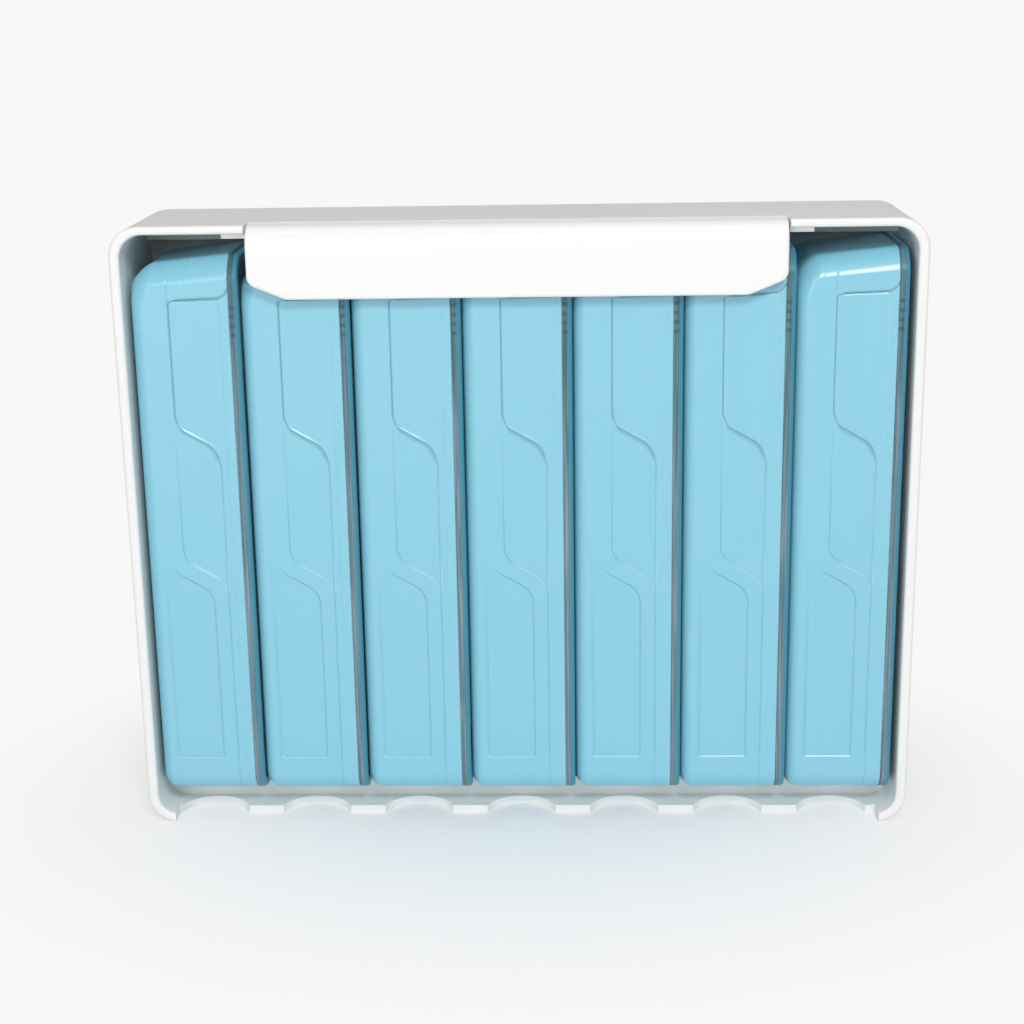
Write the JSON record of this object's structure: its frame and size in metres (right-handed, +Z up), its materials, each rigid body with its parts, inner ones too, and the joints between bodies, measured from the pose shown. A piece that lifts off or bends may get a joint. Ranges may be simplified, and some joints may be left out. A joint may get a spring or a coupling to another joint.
{
  "type": "weekly pill organizer",
  "caption": "Flat upright case with a fold-down flap that holds a row of slim day boxes with clear-covered pill wells.",
  "frame": {"origin": "centre of the ground rectangle under the standing case", "axes": "+X to the right along the row of day boxes, +Y to the back of the case, +Z up along the day boxes"},
  "size_m": [0.172, 0.036, 0.136],
  "materials": {
    "case": "satin white moulded plastic",
    "flap": "satin white moulded plastic",
    "day_box": "satin sky blue moulded plastic",
    "clear_cover": "clear moulded plastic"
  },
  "bodies": {
    "case": {"case": "case"},
    "flap": {"flap": "flap"},
    "day1": {"day1_box": "day_box", "day1_cover": "clear_cover"},
    "day2": {"day2_box": "day_box", "day2_cover": "clear_cover"},
    "day3": {"day3_box": "day_box", "day3_cover": "clear_cover"},
    "day4": {"day4_box": "day_box", "day4_cover": "clear_cover"},
    "day5": {"day5_box": "day_box", "day5_cover": "clear_cover"},
    "day6": {"day6_box": "day_box", "day6_cover": "clear_cover"},
    "day7": {"day7_box": "day_box", "day7_cover": "clear_cover"}
  },
  "joints": [
    {"name": "flap_hinge", "type": "hinge", "parent": "case", "child": "flap", "pos_m": [0, -0.0125, 0.1347], "axis": [-1, 0, 0], "range_deg": [0, 105]},
    {"name": "day1_tilt", "type": "hinge", "parent": "case", "child": "day1", "pos_m": [-0.0717, 0.0102, 0.1245], "axis": [-1, 0, 0], "range_deg": [0, 10]},
    {"name": "day2_tilt", "type": "hinge", "parent": "case", "child": "day2", "pos_m": [-0.0481, 0.0102, 0.1245], "axis": [-1, 0, 0], "range_deg": [0, 10]},
    {"name": "day3_tilt", "type": "hinge", "parent": "case", "child": "day3", "pos_m": [-0.0245, 0.0102, 0.1245], "axis": [-1, 0, 0], "range_deg": [0, 10]},
    {"name": "day4_tilt", "type": "hinge", "parent": "case", "child": "day4", "pos_m": [-0.0009, 0.0102, 0.1245], "axis": [-1, 0, 0], "range_deg": [0, 10]},
    {"name": "day5_tilt", "type": "hinge", "parent": "case", "child": "day5", "pos_m": [0.0227, 0.0102, 0.1245], "axis": [-1, 0, 0], "range_deg": [0, 10]},
    {"name": "day6_tilt", "type": "hinge", "parent": "case", "child": "day6", "pos_m": [0.0463, 0.0102, 0.1245], "axis": [-1, 0, 0], "range_deg": [0, 10]},
    {"name": "day7_tilt", "type": "hinge", "parent": "case", "child": "day7", "pos_m": [0.0699, 0.0102, 0.1245], "axis": [-1, 0, 0], "range_deg": [0, 10]}
  ]
}
